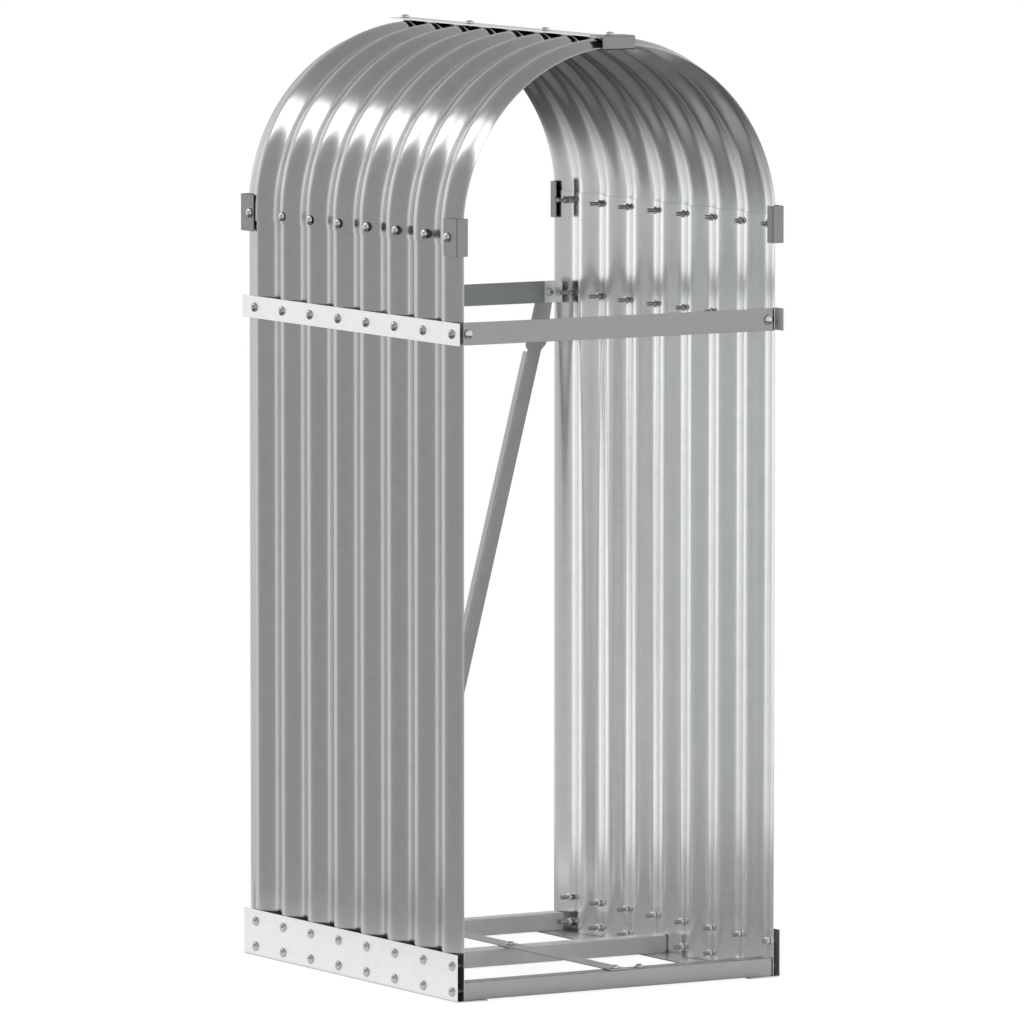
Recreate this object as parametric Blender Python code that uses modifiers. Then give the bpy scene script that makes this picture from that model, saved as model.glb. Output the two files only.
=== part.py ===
"""Firewood rack: two ribbed side sheets and two arched ribbed roof sheets on folded base angles,
held by bolted straps, rails, clips and braces. Metres, +Z up, the open front faces -Y."""
from math import asin, atan, ceil, cos, floor, pi, sin, tan

import bmesh
import bpy
from mathutils import Matrix, Vector

for old in list(bpy.data.objects):
    bpy.data.objects.remove(old, do_unlink=True)

# Sheets: half width is over the rib crests, ribs run up the wall and over the arch
rack_depth = 0.450
crest_half_width = 0.1965
wave_depth = 0.007
wave_count = 8
columns_per_wave = 6
sheet_thickness = 0.0006
round_share = 0.5
spring_height = 0.7986
side_sheet_rise = 0.0074
roof_skirt = 0.0106
arc_steps = 8
ridge_lap = 0.012

# Gap left between pieces that touch
seat_gap = 0.0003

# Base angles, folded: an upright plate outside the sheet, a flange on the floor
angle_height = 0.050
angle_flange = 0.038
angle_thickness = 0.0012
angle_bend = 0.002
base_rows = (0.0105, 0.0375)

# Flat bars
strap_thickness = 0.0012
strap_width = 0.0236
strap_drop = 0.1026
strap_front_reach = 0.005
strap_back_reach = 0.001

# Bolt rows on the walls, the seam row just under the spring of the arch
bolt_count = 8
bolt_front_margin = 0.0102
bolt_back_margin = 0.0254
seam_drop = 0.0026

# Bolts and nuts
head_radius = 0.0052
head_height = 0.0032
crown_share = 0.62
crown_height_share = 0.8
shank_radius = 0.0023
nut_radius = 0.0044
nut_height = 0.0032
bolt_sides = 6
hole_sides = 4
tip_reach = 0.0071
bolt_tail = 0.0028
hole_play = 0.0004

# Vertices closer than this are one vertex
merge_distance = 0.00001

# Derived
half_depth = rack_depth / 2
side_sheet_top = spring_height + side_sheet_rise
roof_edge_height = spring_height - roof_skirt
strap_height = spring_height - strap_drop
seam_height = spring_height - seam_drop
bolt_pitch = (rack_depth - bolt_front_margin - bolt_back_margin) / (bolt_count - 1)
wave_pitch = rack_depth / wave_count
column_width = wave_pitch / columns_per_wave
valley_half_width = crest_half_width - wave_depth
thread_tip = valley_half_width - tip_reach
sheet_across = sheet_thickness / cos(atan(pi * wave_depth / wave_pitch))
nest = sheet_across + seat_gap
lap_angle = asin(ridge_lap / (crest_half_width + nest))
arc_step = (pi / 2 - lap_angle) / arc_steps
lean = tan(arc_step / 2)
plate_outer = crest_half_width + seat_gap + angle_thickness
inner_limit = valley_half_width - sheet_across - seat_gap
hole_radius = (shank_radius + hole_play) / cos(pi / hole_sides)
sides = ((1, "right"), (-1, "left"))
ends = ((-1, "front"), (1, "back"))

rack = bpy.data.collections.new("firewood_rack")
cutters = bpy.data.collections.new("firewood_rack_cutters")
bpy.context.scene.collection.children.link(rack)
bpy.context.scene.collection.children.link(cutters)
floor_point = bpy.data.objects.new("firewood_rack", None)
rack.objects.link(floor_point)


def new_material(name, colour, roughness, metallic):
    material = bpy.data.materials.new(name)
    material.use_nodes = True
    shader = material.node_tree.nodes["Principled BSDF"]
    shader.inputs["Base Color"].default_value = (*colour, 1.0)
    shader.inputs["Roughness"].default_value = roughness
    shader.inputs["Metallic"].default_value = metallic
    return material


def new_piece(name, mesh, colour, roughness=0.35, metallic=1.0):
    mesh.materials.clear()
    mesh.materials.append(new_material(name, colour, roughness, metallic))
    piece = bpy.data.objects.new(name, mesh)
    rack.objects.link(piece)
    piece.parent = floor_point
    return piece


def new_cutter(name, mesh):
    cutter = bpy.data.objects.new(name, mesh)
    cutters.objects.link(cutter)
    cutter.parent = floor_point
    cutter.hide_render = True
    cutter.display_type = "WIRE"
    return cutter


def to_mesh(bm, name):
    mesh = bpy.data.meshes.new(name)
    bm.normal_update()
    bm.to_mesh(mesh)
    bm.free()
    return mesh


def combine(piece, other, operation):
    change = piece.modifiers.new(other.name, "BOOLEAN")
    change.operation = operation
    change.object = other
    change.solver = "EXACT"


def thicken(piece, thickness, side):
    # side is 1 to grow along the faces' normals, -1 to grow behind them
    wall = piece.modifiers.new("thickness", "SOLIDIFY")
    wall.thickness = thickness
    wall.offset = side
    wall.use_even_offset = True


# Square holes, as the necks of dome-headed bolts need
def drill(piece, name, centres, axis, length):
    bm = bmesh.new()
    turn = Vector((0, 0, 1)).rotation_difference(Vector(axis)).to_matrix().to_4x4()
    upright = Matrix.Rotation(pi / hole_sides, 4, "Z")
    for centre in centres:
        place = Matrix.Translation(centre) @ turn @ upright
        bmesh.ops.create_cone(bm, cap_ends=True, segments=hole_sides, radius1=hole_radius,
                              radius2=hole_radius, depth=length, matrix=place)
    combine(piece, new_cutter(name, to_mesh(bm, name)), "DIFFERENCE")


# Sheet metal that is folded from a strip: the path crosses the strip, run draws it out
def folded_strip(path, run, bend_radius):
    bm = bmesh.new()
    points = [bm.verts.new(point) for point in path]
    line = [bm.edges.new(pair) for pair in zip(points, points[1:])]
    drawn = bmesh.ops.extrude_edge_only(bm, edges=line)["geom"]
    moved = [item for item in drawn if isinstance(item, bmesh.types.BMVert)]
    bmesh.ops.translate(bm, vec=run, verts=moved)
    folds = [edge for edge in bm.edges if len(edge.link_faces) == 2]
    if folds:
        bmesh.ops.bevel(bm, geom=folds, offset=bend_radius, offset_type="OFFSET", segments=2,
                        profile=round_share, affect="EDGES")
    return bm


def folded_piece(name, path, run, thickness, towards, colour, bend_radius=angle_bend, roughness=0.35):
    mesh = to_mesh(folded_strip(path, run, bend_radius), name)
    piece = new_piece(name, mesh, colour, roughness)
    face = max(mesh.polygons, key=lambda polygon: polygon.area)
    outward = (Vector(towards) - face.center).dot(face.normal)
    thicken(piece, thickness, 1 if outward > 0 else -1)
    return piece


# Bolt with its nut, turned: the head above its seat, the nut at the grip below it, then the tail
def bolt_mesh(name, grip, tail=0.0, head_sink=0.0, has_nut=True):
    profile = [
        (0, head_height),
        (head_radius * crown_share, head_height * crown_height_share),
        (head_radius, 0),
    ]
    if head_sink:
        profile.append((head_radius, -head_sink))
    profile.append((shank_radius, -head_sink))
    profile.append((shank_radius, -grip))
    end = grip
    if has_nut:
        end = grip + nut_height
        profile.append((nut_radius, -grip))
        profile.append((nut_radius, -end))
    if tail:
        profile.append((shank_radius, -end))
        profile.append((shank_radius, -end - tail))
    profile.append((0, -end - tail))
    bm = bmesh.new()
    points = [bm.verts.new((radius, 0, height)) for radius, height in profile]
    for pair in zip(points, points[1:]):
        bm.edges.new(pair)
    outline = bpy.data.objects.new(name, to_mesh(bm, name))
    cutters.objects.link(outline)
    turn = outline.modifiers.new("turn", "SCREW")
    turn.axis = "Z"
    turn.angle = 2 * pi
    turn.steps = bolt_sides
    turn.render_steps = bolt_sides
    turn.use_merge_vertices = True
    turn.merge_threshold = merge_distance
    turn.use_smooth_shade = False
    bpy.context.view_layer.update()
    solid = bpy.data.meshes.new_from_object(outline.evaluated_get(bpy.context.evaluated_depsgraph_get()))
    bpy.data.objects.remove(outline, do_unlink=True)
    bm = bmesh.new()
    bm.from_mesh(solid)
    bmesh.ops.remove_doubles(bm, verts=bm.verts, dist=merge_distance)
    bm.to_mesh(solid)
    bm.free()
    solid.name = name
    return solid


def facing(direction):
    return Vector((0, 0, 1)).rotation_difference(Vector(direction)).to_matrix().to_4x4()


def new_bolt(name, seat, direction, grip, tail, colour):
    piece = new_piece(name, bolt_mesh(name, grip, tail), colour, 0.3)
    piece.location = seat
    piece.rotation_euler = facing(direction).to_euler()
    return piece


# Bolts that stay with the piece that carries their heads, cut off flush with their nuts
def fasten(piece, name, bolts):
    bm = bmesh.new()
    for seat, direction, grip, sink, has_nut in bolts:
        solid = bolt_mesh(name, grip, 0.0, sink, has_nut)
        solid.transform(Matrix.Translation(seat) @ facing(direction))
        bm.from_mesh(solid)
        bpy.data.meshes.remove(solid)
    combine(piece, new_cutter(name, to_mesh(bm, name)), "UNION")


# Rib profile: height of the faceted wave over its valley, with a valley at each edge of the sheet
def rib(column):
    return wave_depth / 2 * (1 - cos(2 * pi * column / columns_per_wave))


def wave(y):
    place = (y + half_depth) / column_width
    column = floor(place)
    share = place - column
    return rib(column) * (1 - share) + rib(column + 1) * share


def waves_near(y, reach):
    first = ceil((y - reach + half_depth) / column_width)
    last = floor((y + reach + half_depth) / column_width)
    return [wave(y - reach), wave(y + reach)] + [rib(column) for column in range(first, last + 1)]


def nut_seat(y):
    return inner_limit + min(waves_near(y, nut_radius))


def bolt_rows(first=0, last=bolt_count):
    return [bolt_front_margin - half_depth + bolt_pitch * index for index in range(first, last)]


# Ribbed sheets, drawn as an open surface from the wave at the lower edge
def rib_line(bm, side, valley, height):
    columns = wave_count * columns_per_wave
    points = []
    for column in range(columns + 1):
        x = side * (valley + rib(column))
        points.append(bm.verts.new((x, column * column_width - half_depth, height)))
    return [bm.edges.new(pair) for pair in zip(points, points[1:])]


def draw_on(bm, line, step):
    drawn = bmesh.ops.extrude_edge_only(bm, edges=line)["geom"]
    bmesh.ops.translate(bm, vec=step, verts=[item for item in drawn if isinstance(item, bmesh.types.BMVert)])
    return [item for item in drawn if isinstance(item, bmesh.types.BMEdge)]


def arc_on(bm, line, centre_height, angle, steps):
    points = list({point for edge in line for point in edge.verts})
    turned = bmesh.ops.spin(bm, geom=points + line, cent=(0, 0, centre_height), axis=(0, 1, 0),
                            dvec=(0, 0, 0), angle=angle, steps=steps, use_duplicate=False)
    return [item for item in turned["geom_last"] if isinstance(item, bmesh.types.BMEdge)]


def ribbed_piece(name, bm, side, colour):
    mesh = to_mesh(bm, name)
    piece = new_piece(name, mesh, colour, 0.32)
    outward = mesh.polygons[0].normal.x * side
    thicken(piece, sheet_thickness, -1 if outward > 0 else 1)
    return piece


# Side sheets: they stand on the base flanges, and their top follows the first facet of the arch
zinc = (0.56, 0.58, 0.58)
side_sheet_foot = angle_thickness + seat_gap
side_sheets = {}
for side, side_name in sides:
    bm = bmesh.new()
    line = rib_line(bm, side, valley_half_width, side_sheet_foot)
    line = draw_on(bm, line, (0, 0, spring_height - side_sheet_foot))
    lapped = side_sheet_top - spring_height
    draw_on(bm, line, (-side * lapped * lean, 0, lapped))
    sheet = ribbed_piece("side_sheet_" + side_name, bm, side, zinc)
    side_sheets[side] = sheet

# Roof sheets: a short skirt outside the side sheet, then a quarter turn; the right one laps the left
roof_sheets = {}
for side, side_name in sides:
    bm = bmesh.new()
    raised = nest if side > 0 else 0
    line = rib_line(bm, side, valley_half_width + nest, roof_edge_height)
    line = draw_on(bm, line, (0, 0, spring_height + raised - roof_edge_height))
    line = arc_on(bm, line, spring_height + raised, -side * arc_step * arc_steps, arc_steps)
    arc_on(bm, line, spring_height + raised, -side * 2 * lap_angle, 1)
    roof_sheets[side] = ribbed_piece("roof_sheet_" + side_name, bm, side, zinc)

# Base angles with two rows of bolts through the sheets
plate_zinc = (0.68, 0.70, 0.69)
for side, side_name in sides:
    outer = side * plate_outer
    path = [
        (side * (plate_outer - angle_flange), -half_depth, 0),
        (outer, -half_depth, 0),
        (outer, -half_depth, angle_height),
    ]
    angle = folded_piece("base_angle_" + side_name, path, (0, rack_depth, 0), angle_thickness,
                         (0, 0, angle_height), plate_zinc)
    bolts = []
    holes = []
    for y in bolt_rows():
        for height in base_rows:
            seat = (outer, y, height)
            grip = plate_outer - nut_seat(y)
            bolts.append((seat, (side, 0, 0), grip, angle_thickness / 2, True))
            holes.append((side * valley_half_width, y, height))
    fasten(angle, "base_bolts_" + side_name, bolts)
    drill(side_sheets[side], "base_holes_" + side_name, holes, (1, 0, 0), 4 * wave_depth)

# Upper rails between the side sheets, at the height of the side straps
upper_rail_thickness = 0.0015
upper_rail_setback = 0.002
upper_rail_outer = half_depth - upper_rail_setback
upper_rail_inner = upper_rail_outer - upper_rail_thickness
front_bolt_inset = 0.0060
back_bolt_inset = 0.0088
corner_bolt_x = {-1: inner_limit - front_bolt_inset, 1: inner_limit - back_bolt_inset}
for end, end_name in ends:
    path = [
        (-inner_limit, end * upper_rail_outer, strap_height - strap_width / 2),
        (-inner_limit, end * upper_rail_outer, strap_height + strap_width / 2),
    ]
    rail = folded_piece("upper_rail_" + end_name, path, (2 * inner_limit, 0, 0), upper_rail_thickness,
                        (0, 0, strap_height), (0.62, 0.64, 0.64))
    corner_bolt_holes = [(side * corner_bolt_x[end], 0, strap_height) for side, side_name in sides]
    drill(rail, "upper_rail_holes_" + end_name, corner_bolt_holes, (0, 1, 0), 2 * rack_depth)

# Corner brackets, folded: one leg behind the upper rail, one along the side sheet
bracket_thickness = 0.0015
bracket_rail_leg = 0.0146
bracket_sheet_leg = 0.014
bracket_bend = 0.0018
bracket_back = upper_rail_inner - seat_gap
brackets = {}
for side, side_name in sides:
    for end, end_name in ends:
        lower = strap_height - strap_width / 2
        path = [
            (side * (inner_limit - bracket_rail_leg), end * bracket_back, lower),
            (side * inner_limit, end * bracket_back, lower),
            (side * inner_limit, end * (bracket_back - bracket_sheet_leg), lower),
        ]
        name = end_name + "_" + side_name
        bracket = folded_piece("corner_bracket_" + name, path, (0, 0, strap_width), bracket_thickness,
                               (0, 0, lower), (0.60, 0.62, 0.62), bracket_bend)
        hole = (side * corner_bolt_x[end], end * bracket_back, strap_height)
        drill(bracket, "corner_hole_" + name, [hole], (0, 1, 0), 4 * bracket_thickness)
        brackets[side, end] = bracket

# Side straps with a row of bolts through the sheet; the front one screws into the bracket
strap_face = crest_half_width + seat_gap
strap_outer = strap_face + strap_thickness
bracket_end = bracket_back - bracket_sheet_leg
for side, side_name in sides:
    start = (side * strap_face, -half_depth - strap_front_reach, strap_height - strap_width / 2)
    top = (side * strap_face, -half_depth - strap_front_reach, strap_height + strap_width / 2)
    strap_length = rack_depth + strap_front_reach + strap_back_reach
    strap = folded_piece("side_strap_" + side_name, [start, top], (0, strap_length, 0), strap_thickness,
                         (2 * side * strap_face, 0, strap_height), (0.80, 0.82, 0.81))
    bolts = []
    holes = []
    for y in bolt_rows():
        grip = strap_outer - nut_seat(y)
        has_nut = abs(y) < bracket_end
        if not has_nut:
            grip = strap_outer - inner_limit + bracket_thickness / 2
            drill(brackets[side, -1], "strap_hole_" + side_name, [(side * inner_limit, y, strap_height)],
                  (1, 0, 0), 4 * bracket_thickness)
        seat = (side * strap_outer, y, strap_height)
        bolts.append((seat, (side, 0, 0), grip, strap_thickness / 2, has_nut))
        holes.append((side * valley_half_width, y, strap_height))
    fasten(strap, "strap_bolts_" + side_name, bolts)
    drill(side_sheets[side], "strap_holes_" + side_name, holes, (1, 0, 0), 4 * wave_depth)

# Seam clips, folded round the sheets' edges where roof and side lap
clip_thickness = 0.0012
clip_height = 0.039
clip_reach = 0.0018
clip_outer_leg = 0.028
clip_inner_leg = 0.012
clip_depth = 0.0137
clip_bend = 0.0018
clip_bolt_back = 0.0202
clip_face = half_depth + clip_reach + clip_thickness
clip_bolt_y = clip_face - clip_bolt_back
clip_outer = crest_half_width + nest + seat_gap + clip_thickness
for side, side_name in sides:
    for end, end_name in ends:
        lower = seam_height - clip_height / 2
        path = [
            (side * clip_outer, end * (clip_face - clip_outer_leg), lower),
            (side * clip_outer, end * clip_face, lower),
            (side * (clip_outer - clip_depth), end * clip_face, lower),
            (side * (clip_outer - clip_depth), end * (clip_face - clip_inner_leg), lower),
        ]
        name = end_name + "_" + side_name
        clip = folded_piece("seam_clip_" + name, path, (0, 0, clip_height), clip_thickness,
                            (side * (clip_outer - clip_depth / 2), end * clip_bolt_y, lower),
                            (0.58, 0.60, 0.60), clip_bend)
        seat = (side * clip_outer, end * clip_bolt_y, seam_height)
        drill(clip, "clip_hole_" + name, [seat], (1, 0, 0), 4 * clip_thickness)
        seat_x = nut_seat(end * clip_bolt_y) - nut_radius * lean
        new_bolt("clip_bolt_" + name, (side * (clip_outer + seat_gap), end * clip_bolt_y, seam_height),
                 (side, 0, 0), clip_outer + seat_gap - seat_x, seat_x - nut_height - thread_tip,
                 (0.70, 0.72, 0.72))

# Seam bolts between the clips: they clamp the roof sheet's skirt to the side sheet
for side, side_name in sides:
    holes = [(side * valley_half_width, end * clip_bolt_y, seam_height) for end, end_name in ends]
    for index, y in enumerate(bolt_rows(1, bolt_count - 1)):
        holes.append((side * valley_half_width, y, seam_height))
        seat = valley_half_width + nest + max(waves_near(y, head_radius)) + seat_gap
        seat_x = nut_seat(y) - nut_radius * lean
        new_bolt("seam_bolt_%s_%d" % (side_name, index + 1), (side * seat, y, seam_height),
                 (side, 0, 0), seat - seat_x, seat_x - nut_height - thread_tip, (0.70, 0.72, 0.72))
    drill(side_sheets[side], "seam_holes_" + side_name, holes, (1, 0, 0), 4 * wave_depth)
    drill(roof_sheets[side], "skirt_holes_" + side_name, holes, (1, 0, 0), 4 * wave_depth)

# Ridge strap over the lapped roof sheets, a little left of the middle
ridge_x = -0.0035
ridge_front_margin = 0.0160
ridge_back_margin = 0.0110
ridge_middle_share = 0.347
ridge_strap_width = 0.024
ridge_top = spring_height + nest + (crest_half_width + nest) * cos(lap_angle)
ridge_face = ridge_top + seat_gap
ridge_outer = ridge_face + strap_thickness
ridge_front_end = half_depth + clip_reach - seat_gap
ridge_front_y = ridge_front_margin - half_depth
ridge_middle_y = ridge_middle_share * half_depth
ridge_places = (ridge_front_y, -ridge_middle_y, ridge_middle_y, half_depth - ridge_back_margin)
path = [
    (ridge_x - ridge_strap_width / 2, -ridge_front_end, ridge_face),
    (ridge_x + ridge_strap_width / 2, -ridge_front_end, ridge_face),
]
ridge_run = ridge_front_end + half_depth + strap_back_reach
ridge_strap = folded_piece("ridge_strap", path, (0, ridge_run, 0), strap_thickness,
                           (0, 0, 2 * ridge_face), (0.80, 0.82, 0.81))
ridge_holes = [(ridge_x, y, ridge_face - wave_depth / 2) for y in ridge_places]
for name, piece in (("strap", ridge_strap), ("left", roof_sheets[-1]), ("right", roof_sheets[1])):
    drill(piece, "ridge_holes_" + name, ridge_holes, (0, 0, 1), 4 * wave_depth)

# Ridge clip at the front, over the strap's end
ridge_clip_top = ridge_outer + seat_gap + clip_thickness
ridge_clip_x = ridge_x - clip_height / 2
ridge_clip_depth = 0.0149
path = [
    (ridge_clip_x, clip_outer_leg - clip_face, ridge_clip_top),
    (ridge_clip_x, -clip_face, ridge_clip_top),
    (ridge_clip_x, -clip_face, ridge_clip_top - ridge_clip_depth),
    (ridge_clip_x, clip_inner_leg - clip_face, ridge_clip_top - ridge_clip_depth),
]
ridge_clip = folded_piece("ridge_clip", path, (clip_height, 0, 0), clip_thickness,
                          (0, ridge_front_y, ridge_clip_top - ridge_clip_depth / 2), (0.58, 0.60, 0.60), clip_bend)
drill(ridge_clip, "ridge_clip_hole", [(ridge_x, ridge_front_y, ridge_clip_top)], (0, 0, 1),
      4 * clip_thickness)

# Ridge bolts: nuts under the lower roof sheet
for index, y in enumerate(ridge_places):
    seat = (ridge_clip_top if index == 0 else ridge_outer) + seat_gap
    under = spring_height + (valley_half_width + nest + min(waves_near(y, nut_radius))) * cos(lap_angle)
    nut_top = under - sheet_across - seat_gap - nut_radius * lean
    grip = seat - nut_top
    new_bolt("ridge_bolt_%d" % (index + 1), (ridge_x, y, seat), (0, 0, 1), grip,
             bolt_tail, (0.70, 0.72, 0.72))

# Lower rails, folded channels lying across the base flanges
rail_height = 0.019
rail_depth = 0.0185
rail_thickness = 0.0012
rail_setback = upper_rail_setback
rail_bend = 0.0016
rail_foot = angle_thickness + seat_gap
rail_top = rail_foot + rail_height
rail_half_gap = rail_depth / 2
outer_rail_y = half_depth - rail_setback - rail_half_gap
lower_rails = {}
for centre, rail_name in ((-outer_rail_y, "front"), (0, "middle"), (outer_rail_y, "back")):
    path = [
        (-inner_limit, centre - rail_half_gap, rail_foot),
        (-inner_limit, centre - rail_half_gap, rail_top),
        (-inner_limit, centre + rail_half_gap, rail_top),
        (-inner_limit, centre + rail_half_gap, rail_foot),
    ]
    lower_rails[rail_name] = folded_piece("lower_rail_" + rail_name, path, (2 * inner_limit, 0, 0),
                                          rail_thickness, (0, centre, rail_foot), (0.55, 0.57, 0.57), rail_bend)

# Floor strip over the lower rails, bolted to each
floor_strip_width = 0.0212
floor_strip_face = rail_top + seat_gap
floor_strip_outer = floor_strip_face + strap_thickness
floor_strip_end = outer_rail_y + rail_half_gap
extra_bolt_x = 0.030
path = [
    (-floor_strip_width / 2, -floor_strip_end, floor_strip_face),
    (floor_strip_width / 2, -floor_strip_end, floor_strip_face),
]
floor_strip = folded_piece("floor_strip", path, (0, 2 * floor_strip_end, 0), strap_thickness,
                           (0, 0, 2 * floor_strip_face), (0.66, 0.68, 0.68))
strip_places = {"front": -outer_rail_y, "middle": 0, "back": outer_rail_y}
strip_holes = [(0, y, floor_strip_face) for y in strip_places.values()]
drill(floor_strip, "floor_strip_holes", strip_holes, (0, 0, 1), 4 * strap_thickness)
rail_grip = rail_thickness + 2 * seat_gap
for rail_name, y in strip_places.items():
    holes = [(0, y, rail_top)]
    if rail_name == "front":
        holes.append((extra_bolt_x, y, rail_top))
        new_bolt("rail_bolt", (extra_bolt_x, y, rail_top + seat_gap), (0, 0, 1), rail_grip,
                 bolt_tail, (0.70, 0.72, 0.72))
    drill(lower_rails[rail_name], "rail_hole_" + rail_name, holes, (0, 0, 1), 4 * rail_thickness)
    grip = floor_strip_outer + 2 * seat_gap - rail_top + rail_thickness
    new_bolt("strip_bolt_" + rail_name, (0, y, floor_strip_outer + seat_gap), (0, 0, 1), grip,
             bolt_tail, (0.70, 0.72, 0.72))

# Back braces: angle section, flattened at both ends, from the upper corners to the middle of the foot
brace_thickness = 0.0012
brace_leg = 0.0163
brace_flange = 0.0105
brace_flat = 0.0255
brace_foot_x = 0.0
brace_foot_height = 0.010
brace_end_reach = 0.0082
brace_flat_top = 0.056
brace_flat_foot = 0.060
brace_taper = 0.008
brace_face = upper_rail_outer + seat_gap
brace_rise = strap_height - brace_foot_height
brace_slope = (corner_bolt_x[1] - brace_foot_x) / brace_rise
for side, side_name in sides:
    # the left brace lies outside the right one where they meet
    face = brace_face + (0 if side > 0 else brace_thickness + seat_gap)
    stations = (
        (brace_foot_height - brace_end_reach, brace_flat),
        (brace_foot_height + brace_flat_foot, brace_flat),
        (brace_foot_height + brace_flat_foot + brace_taper, brace_leg),
        (strap_height - brace_flat_top - brace_taper, brace_leg),
        (strap_height - brace_flat_top, brace_flat),
        (strap_height + brace_end_reach, brace_flat),
    )
    bm = bmesh.new()
    points = []
    for height, width in stations:
        middle = side * (brace_foot_x + brace_slope * (height - brace_foot_height))
        outer = side * min(side * middle + width / 2, inner_limit)
        points.append((middle - side * width / 2, outer, height))
    lower = [bm.verts.new((x, face, points[0][2])) for x in points[0][:2]]
    edge = bm.edges.new(lower)
    rows = [lower]
    for inner, outer, height in points[1:]:
        drawn = bmesh.ops.extrude_edge_only(bm, edges=[edge])["geom"]
        edge = [item for item in drawn if isinstance(item, bmesh.types.BMEdge)][0]
        row = sorted(edge.verts, key=lambda point: point.co.x * side)
        row[0].co = (inner, face, height)
        row[1].co = (outer, face, height)
        rows.append(row)
    fold = [found for found in bm.edges if set(found.verts) == {rows[2][0], rows[3][0]}]
    drawn = bmesh.ops.extrude_edge_only(bm, edges=fold)["geom"]
    bmesh.ops.translate(bm, vec=(0, brace_flange, 0),
                        verts=[item for item in drawn if isinstance(item, bmesh.types.BMVert)])
    mesh = to_mesh(bm, "back_brace_" + side_name)
    brace = new_piece("back_brace_" + side_name, mesh, (0.48, 0.50, 0.50))
    thicken(brace, brace_thickness, 1 if mesh.polygons[0].normal.y > 0 else -1)
    drill(brace, "brace_holes_" + side_name,
          [(side * corner_bolt_x[1], face, strap_height), (brace_foot_x, face, brace_foot_height)],
          (0, 1, 0), 4 * brace_thickness)

# Corner bolts through upper rail and bracket, at the back through the brace too
for side, side_name in sides:
    for end, end_name in ends:
        seat = upper_rail_outer + seat_gap
        if end > 0:
            seat = brace_face + (1 if side > 0 else 2) * (brace_thickness + seat_gap)
        grip = seat - bracket_back + bracket_thickness + seat_gap
        seat_point = (side * corner_bolt_x[end], end * seat, strap_height)
        new_bolt("corner_bolt_" + end_name + "_" + side_name, seat_point, (0, end, 0), grip, bolt_tail,
                 (0.70, 0.72, 0.72))

# Brace bolt at the foot, through both braces and the rear web of the back rail
foot_seat = brace_face + 2 * (brace_thickness + seat_gap)
foot_grip = foot_seat - floor_strip_end + rail_thickness + seat_gap
drill(lower_rails["back"], "brace_foot_hole", [(brace_foot_x, floor_strip_end, brace_foot_height)],
      (0, 1, 0), 4 * rail_thickness)
new_bolt("brace_bolt", (brace_foot_x, foot_seat, brace_foot_height), (0, 1, 0), foot_grip, bolt_tail,
         (0.70, 0.72, 0.72))

# The origin is at the middle of the floor under the whole rack, strap ends and brace flanges included
front_reach = half_depth + strap_front_reach
back_reach = brace_face + brace_thickness + seat_gap + brace_flange
floor_point.location.y = (front_reach - back_reach) / 2
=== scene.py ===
import math

import bmesh
import bpy
from mathutils import Matrix, Quaternion, Vector


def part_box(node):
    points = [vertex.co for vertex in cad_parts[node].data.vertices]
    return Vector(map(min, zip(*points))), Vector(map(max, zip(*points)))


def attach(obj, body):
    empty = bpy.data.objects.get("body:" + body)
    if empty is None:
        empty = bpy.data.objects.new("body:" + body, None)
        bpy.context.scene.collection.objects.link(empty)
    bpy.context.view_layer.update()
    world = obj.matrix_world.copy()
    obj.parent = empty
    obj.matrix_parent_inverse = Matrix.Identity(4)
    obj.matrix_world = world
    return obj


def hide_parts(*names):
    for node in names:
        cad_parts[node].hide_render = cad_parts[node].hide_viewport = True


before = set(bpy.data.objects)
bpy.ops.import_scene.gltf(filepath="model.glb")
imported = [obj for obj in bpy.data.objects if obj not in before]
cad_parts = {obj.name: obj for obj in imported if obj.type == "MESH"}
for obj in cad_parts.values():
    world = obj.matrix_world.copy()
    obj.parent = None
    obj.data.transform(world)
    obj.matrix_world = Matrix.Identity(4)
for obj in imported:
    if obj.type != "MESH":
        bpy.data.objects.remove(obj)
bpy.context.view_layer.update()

# Base angles: galvanised sheet folded lengthwise, an upright plate outside each wall and a flange
# flat on the floor, pressed in a brake and cut square at both ends.
wall_low, wall_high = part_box("side_sheet_left")
front_edge, back_edge = wall_low.y, wall_high.y
crest_x = -wall_low.x
touch_gap = 0.0003
cut_edge_round = 0.00022
angle_sheet = 0.0012
angle_height = 0.050
angle_flange = 0.038
angle_fold = 0.0021
plate_face = crest_x + touch_gap + angle_sheet


def shader_part(tree, kind, feeds, **settings):
    # one node of a finish or of the room, its settings made and its sockets linked or filled in
    part = tree.nodes.new("ShaderNode" + kind)
    for setting, value in settings.items():
        setattr(part, setting, value)
    for socket, value in feeds.items():
        if isinstance(value, bpy.types.NodeSocket):
            tree.links.new(value, part.inputs[socket])
        else:
            part.inputs[socket].default_value = value
    return part


def spread(tree, source, low, high, from_low=0.0, from_high=1.0):
    # low where the source is from_low, high where it is from_high, and even between them
    feeds = {"Value": source, "From Min": from_low, "From Max": from_high, "To Min": low, "To Max": high}
    return shader_part(tree, "MapRange", feeds).outputs["Result"]


def reckon(tree, operation, *terms):
    return shader_part(tree, "Math", dict(enumerate(terms)), operation=operation).outputs["Value"]


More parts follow.
